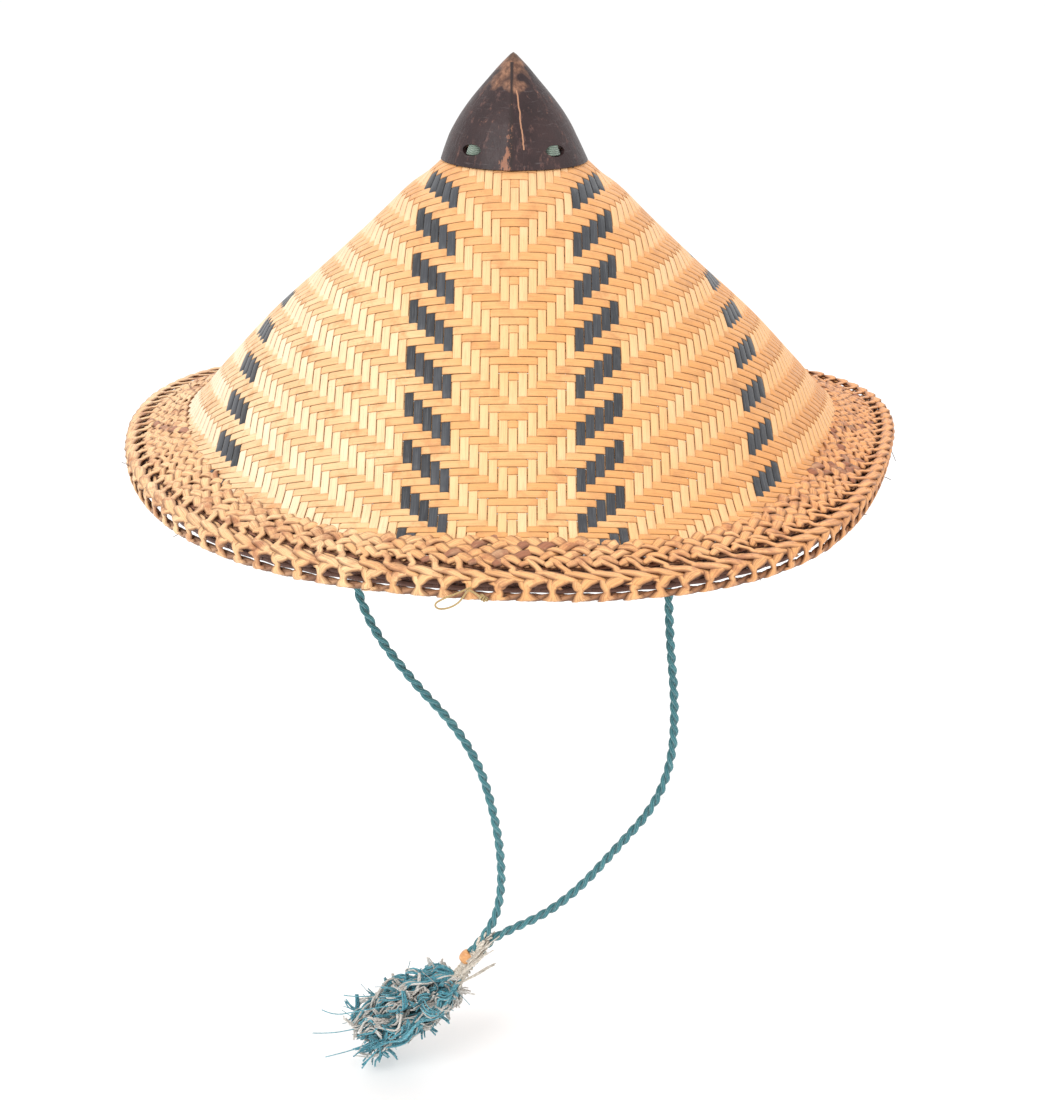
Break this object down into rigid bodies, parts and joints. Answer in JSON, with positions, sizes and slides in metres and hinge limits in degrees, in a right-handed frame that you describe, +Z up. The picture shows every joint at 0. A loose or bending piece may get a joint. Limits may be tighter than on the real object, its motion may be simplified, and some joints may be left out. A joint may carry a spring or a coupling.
{
  "type": "woven conical hat",
  "caption": "Conical sun hat woven from split strips, with a pointed shell finial, a plaited brim, an inner head ring and a swinging chin cord with bead and tassel.",
  "frame": {"origin": "centre of the head ring's mouth, on the hat's axis", "axes": "+Z up along the hat's axis, -Y to the front (the side with the two close dark bands), +X to the right as seen from the front"},
  "size_m": [0.4639, 0.4622, 0.6737],
  "materials": {
    "natural_weave": "split strip, satin",
    "dyed_weave": "dyed split strip, satin",
    "rim_strand": "twisted strand, dull",
    "rim_dark_strand": "bound strand, dull",
    "cane": "split cane, satin",
    "golden_thread": "fine thread",
    "shell": "scraped and waxed shell",
    "stitch_cord": "flat cord, worn",
    "teal_cord": "twisted two-ply cord",
    "bead_wood": "smooth turned wood",
    "raw_fibre": "raw plant fibre",
    "tassel_fibre": "frayed teal and undyed yarn"
  },
  "bodies": {
    "hat": {"crown_weave": "natural_weave", "front_dyed_strips": "dyed_weave", "side_dyed_strips": "dyed_weave", "back_seam_stitches": "golden_thread", "brim_row_inner": "rim_strand", "brim_row_middle": "rim_strand", "brim_row_outer": "rim_strand", "brim_slotted_row": "rim_strand", "brim_herringbone_row": "rim_strand", "brim_eyelet_posts": "rim_strand", "brim_edge_binding": "rim_dark_strand", "brim_hem_band": "rim_dark_strand", "brim_hoop": "cane", "rim_tie": "golden_thread", "crown_ribs": "cane", "crown_hoop_upper": "cane", "crown_hoop_lower": "cane", "head_ring": "cane", "head_ring_hoop_lower": "cane", "head_ring_hoop_upper": "cane", "head_ring_lashings": "golden_thread", "cord_pegs": "cane", "finial": "shell", "finial_stitches": "stitch_cord", "finial_knots": "stitch_cord"},
    "chin_cord": {"cord_eye_left": "teal_cord", "cord_eye_right": "teal_cord", "chin_cord_left": "teal_cord", "chin_cord_right": "teal_cord", "cord_bead": "bead_wood", "fibre_binding": "raw_fibre", "tassel": "tassel_fibre"}
  },
  "joints": [
    {"name": "chin_cord_swing", "type": "hinge", "parent": "hat", "child": "chin_cord", "pos_m": [0, 0, 0.02], "axis": [1, 0, 0], "range_deg": [-60, 60]}
  ]
}
